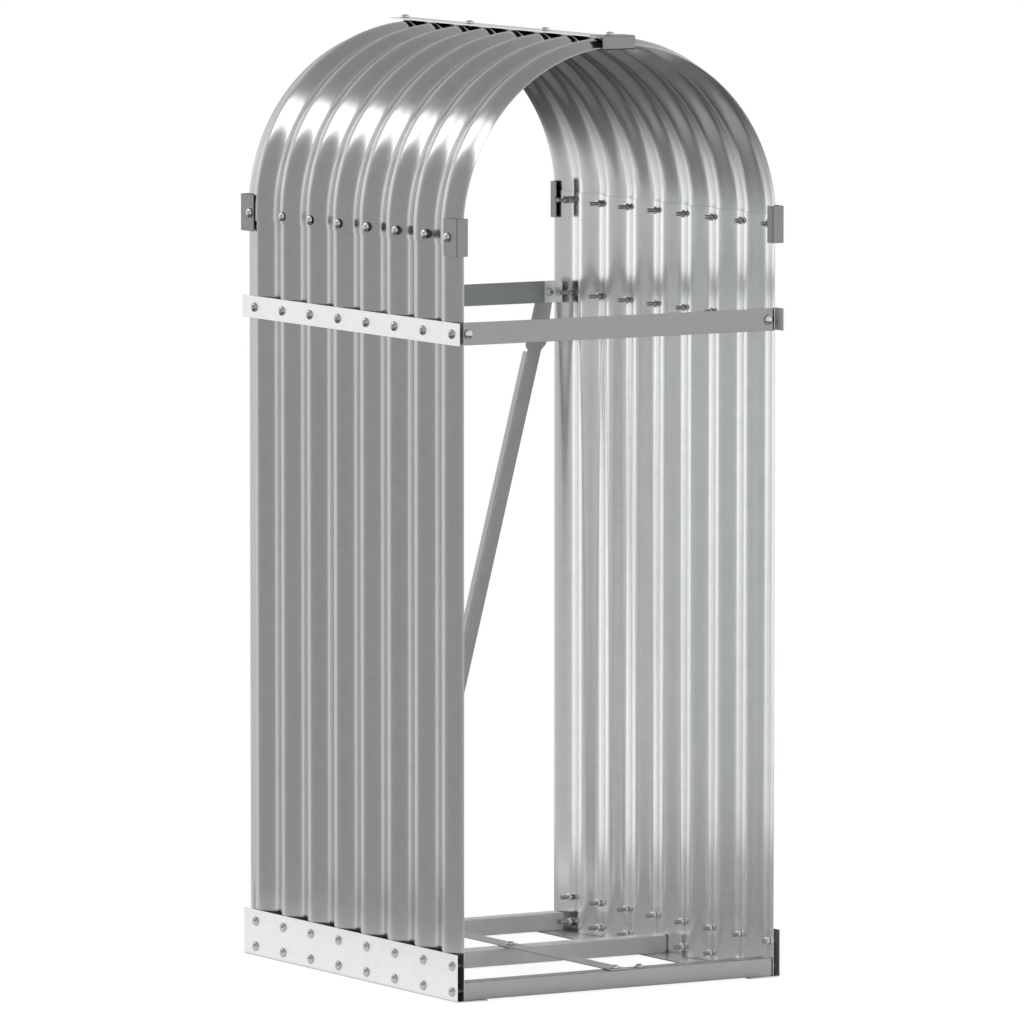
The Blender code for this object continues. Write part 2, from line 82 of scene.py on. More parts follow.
def zinc_finish(name, colour, roughness, crystal=0.009, contrast=0.05, streak=(1.0, 1.0, 1.0), crease_shade=0.5,
                metal=1.0):
    # crystal: the size of the zinc's spangles; contrast: how far they differ; streak: under 1 along the
    # way the steel was rolled; the shade in creases: what is left of the colour deep between pieces, painted
    # shade
    finish = bpy.data.materials.new(name)
    finish.use_nodes = True
    tree = finish.node_tree
    place = shader_part(tree, "TexCoord", {}).outputs["Object"]
    spangle = shader_part(tree, "TexVoronoi", {"Vector": place, "Scale": 1 / crystal, "Randomness": 0.9})
    flake = shader_part(tree, "SeparateColor", {"Color": spangle.outputs["Color"]})
    cloud = shader_part(tree, "TexNoise", {"Vector": place, "Scale": 9.0, "Detail": 5.0})
    drawn = shader_part(tree, "Mapping", {"Vector": place, "Scale": streak})
    grain = shader_part(tree, "TexNoise", {"Vector": drawn.outputs["Vector"], "Scale": 420.0, "Detail": 4.0})
    patches = reckon(tree, "MULTIPLY", spread(tree, flake.outputs["Red"], 1 - contrast, 1 + contrast),
                     spread(tree, cloud.outputs["Fac"], 1 - contrast / 2, 1 + contrast / 2, 0.3, 0.7))
    # painted shade: an ambient occlusion node darkens the colour in creases and deep between pieces
    gap_shade = shader_part(tree, "AmbientOcclusion", {"Distance": 0.009}, samples=6)
    shaded_patches = reckon(tree, "MULTIPLY", patches, spread(tree, gap_shade.outputs["AO"], crease_shade, 1.0, 0.12, 0.60))
    tint = shader_part(tree, "Mix", {"Factor": 1.0, "A": (*colour, 1.0), "B": shaded_patches}, data_type="RGBA",
                       blend_type="MULTIPLY")
    dull = spread(tree, flake.outputs["Green"], roughness - contrast / 2, roughness + contrast / 2)
    haze = reckon(tree, "MULTIPLY_ADD", grain.outputs["Fac"], 0.04, dull)
    relief = shader_part(tree, "Bump", {"Height": grain.outputs["Fac"], "Strength": 0.08,
                                        "Distance": 0.00004})
    shader = tree.nodes["Principled BSDF"]
    shader.inputs["Metallic"].default_value = metal
    tree.links.new(tint.outputs["Result"], shader.inputs["Base Color"])
    tree.links.new(haze, shader.inputs["Roughness"])
    tree.links.new(relief.outputs["Normal"], shader.inputs["Normal"])
    return finish


def alone(piece):
    bpy.ops.object.select_all(action="DESELECT")
    bpy.context.view_layer.objects.active = piece
    piece.select_set(True)


def use(piece, kind, **settings):
    change = piece.modifiers.new(kind.lower(), kind)
    for setting, value in settings.items():
        setattr(change, setting, value)
    alone(piece)
    bpy.ops.object.modifier_apply(modifier=change.name)


def pick_edges(test):
    shape = bmesh.from_edit_mesh(bpy.context.object.data)
    bpy.ops.mesh.select_all(action="DESELECT")
    bpy.ops.mesh.select_mode(type="EDGE")
    for edge in shape.edges:
        edge.select_set(test(edge))
    bmesh.update_edit_mesh(bpy.context.object.data)


def mark(piece, slot, *nodes):
    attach(piece, "root")
    if nodes:
        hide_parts(*nodes)


def dress(piece, finish, slot, *nodes):
    piece.data.materials.clear()
    piece.data.materials.append(finish)
    mark(piece, slot, *nodes)


def line_inside(piece, side, finish):
    # the faces that look towards the rack's middle take a finish of their own: on the base plates a dark
    # copy, painted shade, and on the side straps a light matt copy, painted light
    piece.data.materials.append(finish)
    for face in piece.data.polygons:
        face.material_index = 1 if face.normal.x * side < -0.5 else 0


def folded(name, section, run, sheet, inner, fold):
    # section: the points across the strip; run: its length; inner: a point on the side it thickens to
    points = [Vector(point) for point in section]
    across, along = points[1] - points[0], Vector(run)
    turned = Matrix((across.normalized(), along.normalized(), across.cross(along).normalized())).transposed()
    bpy.ops.object.select_all(action="DESELECT")
    bpy.ops.mesh.primitive_plane_add(size=1, location=points[0] + (across + along) / 2,
                                     rotation=turned.to_euler())
    piece = bpy.context.object
    piece.name = piece.data.name = name
    piece.scale = (across.length, along.length, 1)
    bpy.ops.object.transform_apply(location=True, rotation=True, scale=True)
    bpy.ops.object.mode_set(mode="EDIT")
    for here, there in zip(points[1:], points[2:]):
        ends = (here, here + along)
        pick_edges(lambda edge: all(min((v.co - end).length for end in ends) < 1e-6 for v in edge.verts))
        bpy.ops.mesh.extrude_region_move(TRANSFORM_OT_translate={"value": there - here})
    if len(points) > 2:
        pick_edges(lambda edge: len(edge.link_faces) == 2)
        bpy.ops.mesh.bevel(offset=fold, offset_type="OFFSET", segments=6, affect="EDGES")
    bpy.ops.object.mode_set(mode="OBJECT")
    widest = max(piece.data.polygons, key=lambda face: face.area)
    outward = 1 if (Vector(inner) - widest.center).dot(widest.normal) > 0 else -1
    use(piece, "SOLIDIFY", thickness=sheet, offset=outward, use_even_offset=True)
    use(piece, "BEVEL", width=cut_edge_round, segments=2, limit_method="ANGLE", angle_limit=math.radians(50))
    bpy.ops.object.shade_smooth_by_angle(angle=math.radians(35))
    use(piece, "WEIGHTED_NORMAL", keep_sharp=True)
    return piece


plate_zinc = zinc_finish("base_plate_zinc", (0.83, 0.845, 0.84), 0.30, contrast=0.015)
# the plates' inner faces: a dark copy of the plate's finish, painted shade
plate_inside_painted_shade = zinc_finish("base_plate_inside_painted_shade", (0.34, 0.35, 0.35), 0.55, contrast=0.015,
                                crease_shade=1.0, metal=0.2)
for side, side_name in ((-1, "left"), (1, "right")):
    angle = folded("base_angle_plate_" + side_name,
                   [(side * (plate_face - angle_flange), front_edge, 0), (side * plate_face, front_edge, 0),
                    (side * plate_face, front_edge, angle_height)],
                   (0, back_edge - front_edge, 0), angle_sheet, (0, 0, angle_height), angle_fold)
    dress(angle, plate_zinc, "base_plate", "base_angle_" + side_name)
    line_inside(angle, side, plate_inside_painted_shade)

# Side sheets: thin galvanised steel rolled into eight upright ribs, their feet on the base flanges
# and their tops leaning in where the arch begins.
rib_depth = 0.007
rib_count = 8
rib_pitch = (back_edge - front_edge) / rib_count
wall_sheet = 0.0006
valley_x = crest_x - rib_depth
spring_z = 0.7986
arch_steps = 44
wall_top_steps = 4
steps_across_rib = 20


def rib_height(y):
    return rib_depth / 2 * (1 - math.cos(2 * math.pi * (y - front_edge) / rib_pitch))


def ribbed_wall(name, side, inner_x, foot, top):
    # one rib drawn edge by edge along the wave, then repeated
    step = rib_pitch / steps_across_rib
    bpy.ops.object.select_all(action="DESELECT")
    bpy.ops.mesh.primitive_plane_add(size=1, rotation=(0, math.pi / 2, 0),
                                     location=(side * inner_x, front_edge + step / 2, (foot + top) / 2))
    piece = bpy.context.object
    piece.name = piece.data.name = name
    piece.scale = (top - foot, step, 1)
    bpy.ops.object.transform_apply(location=True, rotation=True, scale=True)
    bpy.ops.object.mode_set(mode="EDIT")
    far = front_edge + step
    pick_edges(lambda edge: all(abs(v.co.y - far) < step / 10 for v in edge.verts))
    bpy.ops.transform.translate(value=(side * rib_height(far), 0, 0))
    for count in range(1, steps_across_rib):
        out = rib_height(front_edge + step * (count + 1)) - rib_height(front_edge + step * count)
        bpy.ops.mesh.extrude_region_move(TRANSFORM_OT_translate={"value": (side * out, step, 0)})
    bpy.ops.object.mode_set(mode="OBJECT")
    use(piece, "ARRAY", count=rib_count, use_relative_offset=False, use_constant_offset=True,
        constant_offset_displace=(0, rib_pitch, 0), use_merge_vertices=True, merge_threshold=step / 20)
    return piece


def bend_top(height, centre_z, side, angle, steps):
    # the upper edge turns over the arch's axis towards the ridge; side is -1 on the left
    pick_edges(lambda edge: all(abs(v.co.z - height) < 1e-5 for v in edge.verts))
    bpy.ops.mesh.spin(steps=steps, angle=side * angle, center=(0, 0, centre_z), axis=(0, 1, 0))


def give_wall(piece, side, centre_z):
    # the outer side of the steel takes the sheet finish, and the side facing in a much brighter copy of it,
    # painted light
    bpy.ops.object.mode_set(mode="OBJECT")
    face = piece.data.polygons[0]
    outward = face.normal.x * side > 0
    use(piece, "SOLIDIFY", thickness=wall_sheet, offset=-1 if outward else 1, use_even_offset=True)
    bpy.ops.object.shade_smooth_by_angle(angle=math.radians(40))
    piece.data.materials.append(sheet_zinc)
    piece.data.materials.append(sheet_inside_painted_light)
    for face in piece.data.polygons:
        away = Vector((face.center.x, 0, max(face.center.z - centre_z, 0)))
        face.material_index = 1 if face.normal.dot(away.normalized()) < -0.3 else 0


sheet_zinc = zinc_finish("sheet_zinc", (0.50, 0.51, 0.515), 0.19, crystal=0.012, contrast=0.02,
                         streak=(1, 1, 0.08))
# the side facing in: the same steel painted brighter, painted light
sheet_inside_painted_light = zinc_finish("sheet_inside_painted_light_zinc", (0.88, 0.89, 0.895), 0.19, crystal=0.012, contrast=0.02,
                          streak=(1, 1, 0.08))
for side, side_name in ((-1, "left"), (1, "right")):
    low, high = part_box("side_sheet_" + side_name)
    sheet = ribbed_wall("wall_sheet_" + side_name, side, valley_x, low.z, spring_z)
    bpy.ops.object.mode_set(mode="EDIT")
    bend_top(spring_z, spring_z, side, math.asin((high.z - spring_z) / crest_x), wall_top_steps)
    give_wall(sheet, side, spring_z)
    mark(sheet, "zinc_sheet", "side_sheet_" + side_name)

# Roof sheets: the same ribbed steel bent over a quarter circle, a short skirt outside the wall's top
# and a flat lap at the ridge, where the right sheet lies over the left.
ridge_lap = 0.012
wall_across = wall_sheet / math.cos(math.atan(math.pi * rib_depth / rib_pitch))
nest = wall_across + touch_gap
lap_angle = math.asin(ridge_lap / (crest_x + nest))
for side, side_name in ((-1, "left"), (1, "right")):
    low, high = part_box("roof_sheet_" + side_name)
    centre_z = spring_z + (nest if side > 0 else 0)
    sheet = ribbed_wall("arch_sheet_" + side_name, side, valley_x + nest, low.z, centre_z)
    bpy.ops.object.mode_set(mode="EDIT")
    bend_top(centre_z, centre_z, side, math.pi / 2 - lap_angle, arch_steps)
    bpy.ops.mesh.spin(steps=1, angle=side * 2 * lap_angle, center=(0, 0, centre_z), axis=(0, 1, 0))
    give_wall(sheet, side, centre_z)
    mark(sheet, "zinc_sheet", "roof_sheet_" + side_name)

# Base bolts: two rows of zinc-plated coach bolts through each plate and the ribs, domed heads
# outside, hexagon nuts and thread ends inside.
head_radius = 0.0052
shank_radius = 0.0023
thread_depth = 0.00028
thread_pitch = 0.0008
pattern_length = 0.0150
plain_length = 0.0040
nut_radius = 0.0044
nut_height = 0.0032
nut_round = 0.0004
thread_tip_x = valley_x - 0.0071
head_rise = 0.0032
row_heights = (0.0105, 0.0375)
first_bolt_y = front_edge + 0.0102
bolt_step = 0.0592
bolts_in_row = 8
bolt_zinc = zinc_finish("bolt_zinc", (0.66, 0.68, 0.68), 0.18, crystal=0.004, contrast=0.04, crease_shade=1.0)
# the base nuts take a bright copy of the bolts' finish, painted light; the heads on the plates and straps and
# every thread end take dark copies, painted shade
nut_painted_light_zinc = zinc_finish("nut_painted_light_zinc", (0.96, 0.97, 0.97), 0.36, crystal=0.004, contrast=0.04, crease_shade=1.0)
head_painted_shade_zinc = zinc_finish("plate_bolt_painted_shade_zinc", (0.47, 0.48, 0.48), 0.17, crystal=0.004, contrast=0.04, crease_shade=1.0)
thread_painted_shade_zinc = zinc_finish("thread_painted_shade_zinc", (0.42, 0.43, 0.43), 0.34, crystal=0.004, contrast=0.05, crease_shade=0.6)


def turned(name, rings, sides):
    # rings: (radius, height) in turn, drawn out from a filled circle
    bpy.ops.object.select_all(action="DESELECT")
    bpy.ops.mesh.primitive_circle_add(vertices=sides, radius=rings[0][0], fill_type="NGON",
                                      location=(0, 0, rings[0][1]))
    piece = bpy.context.object
    piece.name = piece.data.name = name
    bpy.ops.object.transform_apply(location=True, rotation=True, scale=True)
    bpy.ops.object.mode_set(mode="EDIT")
    bpy.ops.mesh.select_all(action="SELECT")
    for (radius, height), (next_radius, next_height) in zip(rings, rings[1:]):
        bpy.ops.mesh.extrude_region_move(TRANSFORM_OT_translate={"value": (0, 0, next_height - height)})
        grow = next_radius / radius
        bpy.ops.transform.resize(value=(grow, grow, 1), center_override=(0, 0, next_height))
    bpy.ops.mesh.select_all(action="SELECT")
    bpy.ops.mesh.normals_make_consistent(inside=False)
    bpy.ops.object.mode_set(mode="OBJECT")
    bpy.ops.object.shade_smooth_by_angle(angle=math.radians(35))
    return piece


thread_rings = [(shank_radius - thread_depth, -pattern_length)]
for turn in range(int((pattern_length - plain_length) / thread_pitch)):
    height = -pattern_length + (turn + 0.5) * thread_pitch
    thread_rings += [(shank_radius, height), (shank_radius - thread_depth, height + thread_pitch / 2)]
dome = [(shank_radius, -plain_length), (shank_radius, 0), (head_radius * 0.97, 0), (head_radius, 0.0002),
        (head_radius, 0.0005), (head_radius * 0.95, 0.0011), (head_radius * 0.84, 0.0018),
        (head_radius * 0.66, 0.0025), (head_radius * 0.42, 0.0030), (head_radius * 0.18, head_rise)]
bolt_pattern = turned("bolt_pattern", thread_rings + dome, 16)
bolt_pattern.data.materials.append(bolt_zinc)
bolt_pattern.data.materials.append(thread_painted_shade_zinc)
for face in bolt_pattern.data.polygons:
    face.material_index = 1 if face.center.z < -touch_gap else 0
bpy.ops.object.select_all(action="DESELECT")
bpy.ops.mesh.primitive_cylinder_add(vertices=6, radius=nut_radius, depth=nut_height,
                                    location=(0, 0, -nut_height / 2))
nut_pattern = bpy.context.object
nut_pattern.name = "nut_pattern"
bpy.ops.object.transform_apply(location=True, rotation=True, scale=True)
use(nut_pattern, "BEVEL", width=nut_round, segments=2, limit_method="ANGLE", angle_limit=math.radians(50))
bpy.ops.object.shade_smooth_by_angle(angle=math.radians(35))
nut_pattern.data.materials.append(bolt_zinc)


def set_bolt(name, seat, direction, nut_at, length, *nodes, head=bolt_zinc, nut_finish=bolt_zinc):
    # nut_at: how far under the head's seat the nut begins, or None where it screws into the steel
    swing = Vector((0, 0, 1)).rotation_difference(Vector(direction))
    bolt = bpy.data.objects.new(name, bolt_pattern.data.copy())
    bolt.data.name = name
    bolt.data.materials[0] = head
    bpy.context.scene.collection.objects.link(bolt)
    for point in bolt.data.vertices:
        if point.co.z < -plain_length / 2:
            point.co.z += pattern_length - length
    alone(bolt)
    if nut_at is not None:
        nut = bpy.data.objects.new(name + "_nut", nut_pattern.data.copy())
        nut.data.materials[0] = nut_finish
        bpy.context.scene.collection.objects.link(nut)
        nut.data.transform(Matrix.Translation((0, 0, -nut_at)))
        nut.select_set(True)
        bpy.ops.object.join()
    bolt.data.transform(Matrix.Translation(seat) @ swing.to_matrix().to_4x4())
    mark(bolt, "bolt_zinc", *nodes)


def lowest_rib(y, reach):
    return min(rib_height(y + reach * part / 4) for part in range(-4, 5))


def nut_face(y):
    return valley_x - nest + lowest_rib(y, nut_radius)


row_places = [first_bolt_y + bolt_step * index for index in range(bolts_in_row)]
for side, side_name in ((-1, "left"), (1, "right")):
    for row, height in enumerate(row_heights):
        for index, y in enumerate(row_places):
            set_bolt("base_bolt_%s_%d_%d" % (side_name, row + 1, index + 1), (side * plate_face, y, height),
                     (side, 0, 0), plate_face - nut_face(y), plate_face - thread_tip_x, head=head_painted_shade_zinc,
                     nut_finish=nut_painted_light_zinc)

# Side straps: flat galvanised bar outside each wall below the seam, its front end standing a little
# past the sheet, with a row of the same bolts.
strap_steel = 0.0012
bar_zinc = zinc_finish("strap_zinc", (0.90, 0.91, 0.905), 0.28, contrast=0.015)
# the straps' inner faces: a matt, light copy of the strap's finish, painted light
strap_inside_painted_light = zinc_finish("strap_inside_painted_light_zinc", (0.86, 0.87, 0.87), 0.60, contrast=0.015, crease_shade=1.0,
                              metal=0.15)
strap_bar_face = crest_x + touch_gap
strap_outer = strap_bar_face + strap_steel
strap_low, strap_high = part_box("side_strap_left")
strap_front, strap_back = strap_low.y, strap_high.y
rail_low, rail_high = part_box("upper_rail_front")
bar_bottom, bar_top = rail_low.z, rail_high.z
bar_middle = (bar_bottom + bar_top) / 2
for side, side_name in ((-1, "left"), (1, "right")):
    strap = folded("side_bar_" + side_name,
                   [(side * strap_bar_face, strap_front, bar_bottom),
                    (side * strap_bar_face, strap_front, bar_top)],
                   (0, strap_back - strap_front, 0), strap_steel, (side, 0, bar_middle), 0)
    dress(strap, bar_zinc, "bar_zinc", "side_strap_" + side_name)
    line_inside(strap, side, strap_inside_painted_light)
    for index, y in enumerate(row_places):
        has_nut = index > 0
        set_bolt("strap_bolt_%s_%d" % (side_name, index + 1), (side * strap_outer, y, bar_middle),
                 (side, 0, 0), strap_outer - nut_face(y) if has_nut else None, strap_outer - thread_tip_x,
                 head=head_painted_shade_zinc)

# Upper rails: flat galvanised bars between the walls at the height of the side straps, one in front and
# one at the back, sheared to length and bolted to the corner brackets.
rail_zinc = zinc_finish("rail_zinc", (0.36, 0.37, 0.37), 0.34, contrast=0.015)
for end_name in ("front", "back"):
    low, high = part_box("upper_rail_" + end_name)
    rail = folded("upper_bar_" + end_name, [(low.x, low.y, low.z), (low.x, low.y, high.z)],
                  (high.x - low.x, 0, 0), high.y - low.y, (0, 1, low.z), 0)
    dress(rail, rail_zinc, "rail_zinc", "upper_rail_" + end_name)

# Corner brackets: small tabs folded at a right angle, one leg behind the upper rail and one along
# the wall, held by the corner bolts.
tab_steel = 0.0015
tab_fold = 0.0019
tab_zinc = zinc_finish("corner_tab_zinc", (0.84, 0.85, 0.85), 0.34, contrast=0.015, crease_shade=0.8)
for side, side_name in ((-1, "left"), (1, "right")):
    for end, end_name in ((-1, "front"), (1, "back")):
        name = end_name + "_" + side_name
        low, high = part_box("corner_bracket_" + name)
        rail_side = low.y if end < 0 else high.y
        far_side = high.y if end < 0 else low.y
        wall_side = high.x if side > 0 else low.x
        free_side = low.x if side > 0 else high.x
        tab = folded("corner_tab_" + name,
                     [(free_side, rail_side, low.z), (wall_side, rail_side, low.z),
                      (wall_side, far_side, low.z)],
                     (0, 0, high.z - low.z), tab_steel, (0, 0, low.z), tab_fold)
        dress(tab, tab_zinc, "rail_zinc", "corner_bracket_" + name)

# Seam clips: zinc strip folded round the front and back edges where roof and wall sheets lap, with
# a long leg outside and a short one inside.
clip_steel = 0.0012
clip_fold = 0.0019
clip_inner_leg = 0.012
clip_zinc = zinc_finish("clip_zinc", (0.28, 0.29, 0.29), 0.32, contrast=0.015)
for side, side_name in ((-1, "left"), (1, "right")):
    for end, end_name in ((-1, "front"), (1, "back")):
        name = end_name + "_" + side_name
        low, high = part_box("seam_clip_" + name)
        outer = high.x if side > 0 else low.x
        inner = low.x if side > 0 else high.x
        face = low.y if end < 0 else high.y
        leg_end = high.y if end < 0 else low.y
        clip = folded("seam_cover_" + name,
                      [(outer, leg_end, low.z), (outer, face, low.z), (inner, face, low.z),
                       (inner, face - end * clip_inner_leg, low.z)],
                      (0, 0, high.z - low.z), clip_steel, ((inner + outer) / 2, leg_end, low.z),
                      clip_fold)
        dress(clip, clip_zinc, "clip_zinc", "seam_clip_" + name)
        bolt_low, bolt_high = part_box("clip_bolt_" + name)
        y = (bolt_low.y + bolt_high.y) / 2
        seat = (bolt_high.x if side > 0 else -bolt_low.x) - head_rise
        set_bolt("cover_bolt_" + name, (side * seat, y, (bolt_low.z + bolt_high.z) / 2), (side, 0, 0),
                 seat - nut_face(y), seat - thread_tip_x, "clip_bolt_" + name)

# Seam bolts: six zinc-plated bolts along each seam, put in from outside through the roof sheet's skirt
# and the wall that it laps, with their nuts inside.
for side, side_name in ((-1, "left"), (1, "right")):
    for index in range(6):
        node = "seam_bolt_%s_%d" % (side_name, index + 1)
        low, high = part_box(node)
        y = (low.y + high.y) / 2
        seat = (high.x if side > 0 else -low.x) - head_rise
        set_bolt("skirt_bolt_%s_%d" % (side_name, index + 1), (side * seat, y, (low.z + high.z) / 2),
                 (side, 0, 0), seat - nut_face(y), seat - thread_tip_x, node)

# Ridge strap: flat galvanised bar along the lap of the roof sheets, held by four bolts from above, with a
# clip of zinc strip folded over the sheets' front edge at its end.
thread_end = 0.0028
low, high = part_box("ridge_strap")
strap = folded("ridge_bar", [(low.x, low.y, low.z), (high.x, low.y, low.z)], (0, high.y - low.y, 0),
               high.z - low.z, (0, 0, 2), 0)
dress(strap, bar_zinc, "bar_zinc", "ridge_strap")
low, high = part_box("ridge_clip")
clip = folded("ridge_cover",
              [(low.x, high.y, high.z), (low.x, low.y, high.z), (low.x, low.y, low.z),
               (low.x, low.y + clip_inner_leg, low.z)],
              (high.x - low.x, 0, 0), clip_steel, (0, high.y, (low.z + high.z) / 2), clip_fold)
dress(clip, clip_zinc, "clip_zinc", "ridge_clip")
for index in range(4):
    node = "ridge_bolt_%d" % (index + 1)
    low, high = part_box(node)
    seat = high.z - head_rise
    length = seat - low.z
    set_bolt("ridge_screw_%d" % (index + 1), ((low.x + high.x) / 2, (low.y + high.y) / 2, seat), (0, 0, 1),
             length - thread_end - nut_height, length, node)

# Lower rails: three channels folded from galvanised sheet, laid open side down across the base flanges
# at the front, the middle and the back.
channel_steel = 0.0012
channel_fold = 0.0013
# the middle and back channels take a brighter copy of the front rail's finish, painted light for the dimmer
# light inside the rack
channel_painted_light_zinc = zinc_finish("channel_painted_light_zinc", (0.78, 0.79, 0.79), 0.34, contrast=0.015)
for rail_name in ("front", "middle", "back"):
    low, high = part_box("lower_rail_" + rail_name)
    rail = folded("lower_channel_" + rail_name,
                  [(low.x, low.y, low.z), (low.x, low.y, high.z), (low.x, high.y, high.z),
                   (low.x, high.y, low.z)],
                  (high.x - low.x, 0, 0), channel_steel, (0, (low.y + high.y) / 2, low.z), channel_fold)
    finish = rail_zinc if rail_name == "front" else channel_painted_light_zinc
    dress(rail, finish, "rail_zinc", "lower_rail_" + rail_name)

# Floor strip: flat galvanised bar from front to back over the lower rails, with a bolt down into each
# of them and one more beside it in the front rail.
strip_zinc = zinc_finish("floor_strip_zinc", (0.46, 0.47, 0.47), 0.34, contrast=0.015)
low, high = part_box("floor_strip")
strip = folded("floor_bar", [(low.x, low.y, low.z), (high.x, low.y, low.z)], (0, high.y - low.y, 0),
               high.z - low.z, (0, 0, 1), 0)
dress(strip, strip_zinc, "bar_zinc", "floor_strip")
for node, name in (("strip_bolt_front", "floor_screw_front"), ("strip_bolt_middle", "floor_screw_middle"),
                   ("strip_bolt_back", "floor_screw_back"), ("rail_bolt", "channel_screw")):
    low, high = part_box(node)
    seat = high.z - head_rise
    length = seat - low.z
    set_bolt(name, ((low.x + high.x) / 2, (low.y + high.y) / 2, seat), (0, 0, 1),
             length - thread_end - nut_height, length, node)

# Back braces: light angle flattened at both ends, from the upper corners down to the middle of the
# back rail, where both feet share one bolt.
brace_steel = 0.0012
brace_leg = 0.0163
brace_flat = 0.0255
flat_top_length = 0.056
flat_foot_length = 0.060
brace_taper = 0.008
brace_foot_z = 0.010
brace_fold = 0.0016
taper_steps = 6
brace_zinc = zinc_finish("brace_zinc", (0.44, 0.45, 0.45), 0.34, contrast=0.015)
corner_low, corner_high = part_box("corner_bolt_back_right")
brace_lean = (corner_low.x + corner_high.x) / 2 / (bar_middle - brace_foot_z)


def brace_width(height):
    into = min(height - brace_foot_z - flat_foot_length, bar_middle - flat_top_length - height) / brace_taper
    share = min(max(into, 0), 1)
    return brace_flat + (brace_leg - brace_flat) * share * share * (3 - 2 * share)


for side, side_name in ((-1, "left"), (1, "right")):
    node = "back_brace_" + side_name
    low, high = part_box(node)
    reach = high.x if side > 0 else -low.x
    leg_foot = brace_foot_z + flat_foot_length + brace_taper
    leg_top = bar_middle - flat_top_length - brace_taper
    climbs = [brace_taper * part / taper_steps for part in range(taper_steps + 1)]
    heights = [low.z] + [leg_foot - brace_taper + climb for climb in climbs]
    heights += [leg_top + climb for climb in climbs] + [high.z]
    rungs = []
    for height in heights:
        middle = brace_lean * (height - brace_foot_z)
        inner = middle - brace_width(height) / 2
        outer = min(middle + brace_width(height) / 2, reach)
        rungs.append((side * (inner + outer) / 2, outer - inner, height))
    bpy.ops.object.select_all(action="DESELECT")
    first, second = rungs[0], rungs[1]
    bpy.ops.mesh.primitive_plane_add(size=1, location=(first[0], low.y, (first[2] + second[2]) / 2),
                                     rotation=(math.pi / 2, 0, 0))
    brace = bpy.context.object
    brace.name = brace.data.name = "brace_angle_" + side_name
    brace.scale = (first[1], second[2] - first[2], 1)
    bpy.ops.object.transform_apply(location=True, rotation=True, scale=True)
    bpy.ops.object.mode_set(mode="EDIT")
    pick_edges(lambda edge: all(abs(v.co.z - second[2]) < 1e-6 for v in edge.verts))
    bpy.ops.transform.translate(value=(second[0] - first[0], 0, 0))
    bpy.ops.transform.resize(value=(second[1] / first[1], 1, 1),
                             center_override=(second[0], low.y, second[2]))
    for here, there in zip(rungs[1:], rungs[2:]):
        move = (there[0] - here[0], 0, there[2] - here[2])
        bpy.ops.mesh.extrude_region_move(TRANSFORM_OT_translate={"value": move})
        bpy.ops.transform.resize(value=(there[1] / here[1], 1, 1),
                                 center_override=(there[0], low.y, there[2]))
    pick_edges(lambda edge: all(leg_foot - 1e-6 < v.co.z < leg_top + 1e-6
                                and v.co.x * side < brace_lean * (v.co.z - brace_foot_z) for v in edge.verts))
    bpy.ops.mesh.extrude_region_move(TRANSFORM_OT_translate={"value": (0, high.y - low.y, 0)})
    pick_edges(lambda edge: len(edge.link_faces) == 2
               and abs(edge.link_faces[0].normal.dot(edge.link_faces[1].normal)) < 0.5)
    bpy.ops.mesh.bevel(offset=brace_fold, offset_type="OFFSET", segments=5, affect="EDGES")
    bpy.ops.mesh.select_all(action="SELECT")
    bpy.ops.mesh.normals_make_consistent(inside=False)
    bpy.ops.object.mode_set(mode="OBJECT")
    widest = max(brace.data.polygons, key=lambda face: face.area)
    use(brace, "SOLIDIFY", thickness=brace_steel, offset=1 if widest.normal.y > 0 else -1,
        use_even_offset=True)
    use(brace, "BEVEL", width=cut_edge_round, segments=2, limit_method="ANGLE", angle_limit=math.radians(50))
    bpy.ops.object.shade_smooth_by_angle(angle=math.radians(35))
    use(brace, "WEIGHTED_NORMAL", keep_sharp=True)
    dress(brace, brace_zinc, "brace_zinc", node)

# Corner bolts: one through each end of the upper rails and the bracket behind it, at the back through
# the brace's end too, and one that holds both braces' feet to the back lower rail.
for node, name in (("corner_bolt_front_left", "corner_screw_front_left"),
                   ("corner_bolt_front_right", "corner_screw_front_right"),
                   ("corner_bolt_back_left", "corner_screw_back_left"),
                   ("corner_bolt_back_right", "corner_screw_back_right"), ("brace_bolt", "brace_screw")):
    low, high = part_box(node)
    end = -1 if "front" in node else 1
    seat = (high.y if end > 0 else -low.y) - head_rise
    length = seat - (low.y if end > 0 else -high.y)
    set_bolt(name, ((low.x + high.x) / 2, end * seat, (low.z + high.z) / 2), (0, end, 0),
             length - thread_end - nut_height, length, node)

# the patterns were only there to be copied
for pattern in (bolt_pattern, nut_pattern):
    bpy.data.objects.remove(pattern, do_unlink=True)

# Studio floor: a pale disc of card under the rack, white to the camera, which keeps the rack's shadow.
# The steel mirrors its glow, a painted reflection, only close by, and less of it inside the rack than
# outside, a painted shade there.
floor_radius = 0.8
floor_drop = 0.0002
floor_paint = (0.2, 0.2, 0.2, 1)
floor_glow = (0.9, 0.9, 0.9, 1)
inside_painted_shade_level = 0.30
fade_start, fade_end = 0.80, 0.95
reach_levels = ((0.50, 1.0), (0.57, 0.40), (fade_start, 0.40), (fade_end, 0.0))
aside_levels = ((0.16, 0.0), (0.21, 1.0), (0.44, 1.0), (0.52, 0.25))
rack_front, clear_front = -0.23, -0.27


def level_ramp(tree, source, stops):
    # a grey level along a source that runs from 0 to 1; stops: (place, level) in turn
    part = shader_part(tree, "ValToRGB", {"Fac": source})
    for index, (at, value) in enumerate(stops):
        stop = part.color_ramp.elements[index] if index < 2 else part.color_ramp.elements.new(at)
        stop.position, stop.color = at, (value, value, value, 1)
    return part.outputs["Color"]


